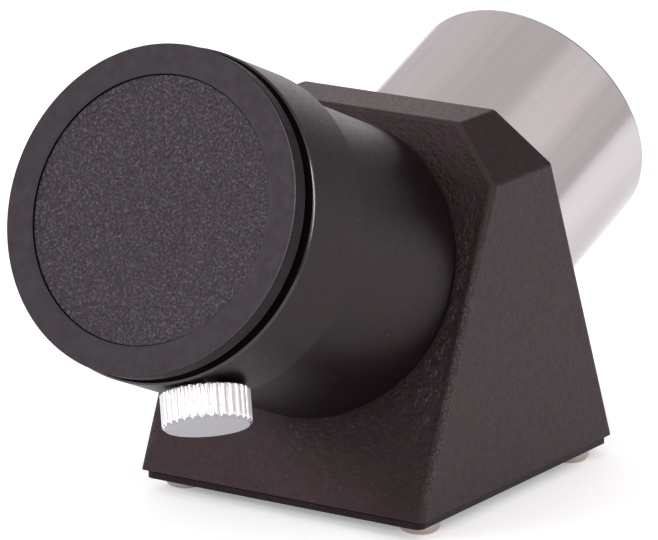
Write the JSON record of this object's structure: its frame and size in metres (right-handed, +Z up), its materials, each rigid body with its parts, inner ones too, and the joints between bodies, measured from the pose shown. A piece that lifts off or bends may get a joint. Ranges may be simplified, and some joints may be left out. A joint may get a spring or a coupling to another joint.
{
  "type": "star diagonal",
  "caption": "Telescope diagonal with an erecting prism that bends the view 45 degrees: wedge housing, capped eyepiece tube with thumbscrew, plain barrel nosepiece.",
  "frame": {"origin": "on the resting plane, under the middle of the object's outer box", "axes": "+X towards the silver nosepiece, -X towards the eyepiece tube and its cap, -Y the side the thumbscrew leans to, +Z up; both tube axes lie in the XZ plane and rise 22.5 degrees away from the housing"},
  "size_m": [0.094, 0.0386, 0.0592],
  "materials": {
    "black_cast_housing": "matte",
    "black_plate": "matte",
    "black_gasket": "matte",
    "nickel_screws": "satin",
    "prism_glass": "gloss",
    "black_moulding": "matte",
    "black_steel": "satin",
    "cork_pad": "matte",
    "spring_steel": "satin",
    "black_anodised_tube": "satin",
    "bright_chrome": "polished",
    "black_cap_moulding": "matte",
    "polished_barrel": "satin",
    "black_baffle": "matte"
  },
  "bodies": {
    "root": {"housing": "black_cast_housing", "base_plate": "black_plate", "base_gasket": "black_gasket", "base_plate_screws": "nickel_screws", "prism": "prism_glass", "prism_cell": "black_moulding", "cell_screws": "black_steel", "roof_pad_left": "cork_pad", "roof_pad_right": "cork_pad", "prism_strap": "spring_steel", "strap_pad": "cork_pad", "strap_screws": "black_steel", "eyepiece_tube": "black_anodised_tube", "nosepiece": "polished_barrel", "nosepiece_baffle": "black_baffle"},
    "thumbscrew_shank": {"thumbscrew_shank": "bright_chrome"},
    "thumbscrew_knob": {"thumbscrew_knob": "bright_chrome"},
    "dust_cap": {"dust_cap": "black_cap_moulding"}
  },
  "joints": [
    {"name": "cap_pull", "type": "slide", "parent": "root", "child": "dust_cap", "axis": [-0.9239, 0, 0.3827], "range_m": [0, 0.08]},
    {"name": "thumbscrew_advance", "type": "slide", "parent": "root", "child": "thumbscrew_shank", "axis": [-0.361, -0.3322, -0.8714], "range_m": [-0.00015, 0.0015]},
    {"name": "thumbscrew_turn", "type": "hinge", "parent": "thumbscrew_shank", "child": "thumbscrew_knob", "pos_m": [-0.03161, 0, 0.03864], "axis": [-0.361, -0.3322, -0.8714], "range_deg": [-108.5, 1080.5]}
  ],
  "couplings": [
    {"joint": "thumbscrew_turn", "follows": "thumbscrew_advance", "rad_per_m": 12566}
  ]
}
